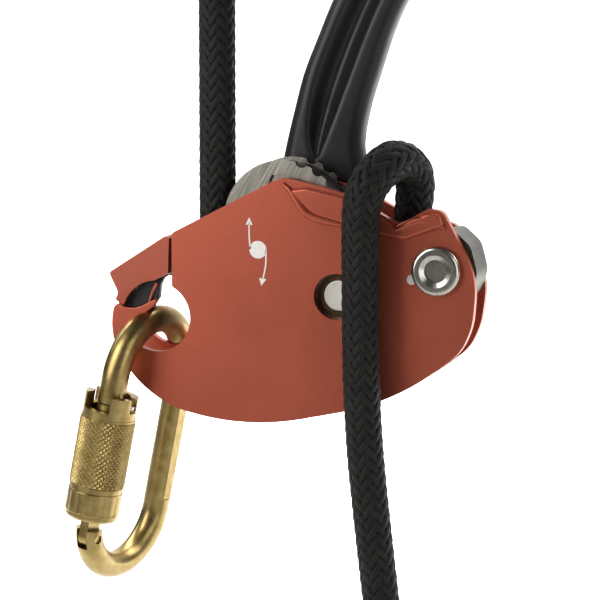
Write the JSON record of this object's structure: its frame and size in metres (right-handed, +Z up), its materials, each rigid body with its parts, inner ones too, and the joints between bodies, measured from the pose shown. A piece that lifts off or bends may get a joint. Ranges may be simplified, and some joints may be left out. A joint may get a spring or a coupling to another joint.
{
  "type": "rope descender",
  "caption": "Self-braking rope descender: two side plates round a rope bobbin, a release handle and a sprung catch, rigged with its rope and a twist-lock connector.",
  "frame": {"origin": "middle of the opening of the load rope's sewn eye, from which the whole part hangs", "axes": "+Z up along the taut load rope, +Y from the swinging front plate to the fixed rear plate and the handle, +X from the attachment hole to the plate's pivot"},
  "size_m": [0.1453, 0.0626, 0.3699],
  "materials": {
    "red_anodised": "red anodised aluminium, satin",
    "catch_red": "red anodised aluminium, satin",
    "polished_steel": "turned stainless steel",
    "brushed_steel": "brushed stainless steel",
    "cast_steel": "matt investment-cast stainless steel",
    "bronze": "plain bronze",
    "spring_steel": "spring steel",
    "handle_black": "satin black anodised",
    "yellow_zinc": "yellow passivated zinc on steel",
    "black_rope": "black braided polyamide",
    "black_cover": "black shrunk cover"
  },
  "bodies": {
    "chassis": {"rear_plate": "red_anodised", "friction_block": "cast_steel", "block_screw_1": "brushed_steel", "block_screw_2": "brushed_steel", "pivot_rivet": "polished_steel", "spindle": "polished_steel", "spindle_washer": "brushed_steel", "spindle_nut": "brushed_steel", "handle_spring": "spring_steel", "catch_pin": "brushed_steel", "rope_line": "black_rope", "rope_eye": "black_rope", "eye_cover": "black_cover", "stopper_knot": "black_rope", "rope_tail": "black_rope"},
    "swing_plate": {"front_plate": "red_anodised", "stop_pin": "brushed_steel"},
    "catch_lever": {"catch": "catch_red", "catch_spring": "spring_steel"},
    "rope_bobbin": {"bobbin": "brushed_steel", "bobbin_bush": "bronze"},
    "release_handle": {"handle": "handle_black"},
    "connector": {"link_body": "yellow_zinc", "gate_rivet": "yellow_zinc"},
    "connector_gate": {"gate": "yellow_zinc"},
    "twist_sleeve": {"lock_sleeve": "yellow_zinc", "sleeve_spring": "spring_steel"},
    "sleeve_ball": {"lock_ball": "brushed_steel"}
  },
  "joints": [
    {"name": "plate_swing", "type": "hinge", "parent": "chassis", "child": "swing_plate", "pos_m": [0.0822, -0.0095, -0.1616], "axis": [0, -1, 0], "range_deg": [0, 95]},
    {"name": "catch_press", "type": "hinge", "parent": "chassis", "child": "catch_lever", "pos_m": [-0.0293, -0.002, -0.1705], "axis": [0, -1, 0], "range_deg": [0, 50], "stiffness_Nm_per_rad": 0.02, "springref_deg": -17.19},
    {"name": "bobbin_turn", "type": "hinge", "parent": "chassis", "child": "rope_bobbin", "pos_m": [0.0465, 0, -0.172], "axis": [0, 1, 0], "range_deg": [0, 8], "stiffness_Nm_per_rad": 2, "springref_deg": -2.86},
    {"name": "handle_turn", "type": "hinge", "parent": "chassis", "child": "release_handle", "pos_m": [0.0465, 0.017, -0.172], "axis": [0, 1, 0], "range_deg": [-60, 60]},
    {"name": "connector_swing", "type": "hinge", "parent": "chassis", "child": "connector", "pos_m": [-0.0215, -0.0024, -0.1836], "axis": [0, 1, 0], "range_deg": [-6, 20]},
    {"name": "gate_open", "type": "hinge", "parent": "connector", "child": "connector_gate", "pos_m": [-0.04171, -0.02105, -0.25954], "axis": [-0.9436, 0.2756, 0.1834], "range_deg": [0, 22], "stiffness_Nm_per_rad": 0.15, "springref_deg": -22.92},
    {"name": "sleeve_twist", "type": "hinge", "parent": "connector_gate", "child": "twist_sleeve", "pos_m": [-0.03645, -0.02162, -0.23163], "axis": [0.1908, 0, 0.9816], "range_deg": [0, 90], "stiffness_Nm_per_rad": 0.01, "springref_deg": -17.19},
    {"name": "ball_press", "type": "slide", "parent": "twist_sleeve", "child": "sleeve_ball", "axis": [-0.9436, 0.2756, 0.1834], "range_m": [0, 0.0009], "stiffness_N_per_m": 150, "springref_m": -0.0005}
  ]
}
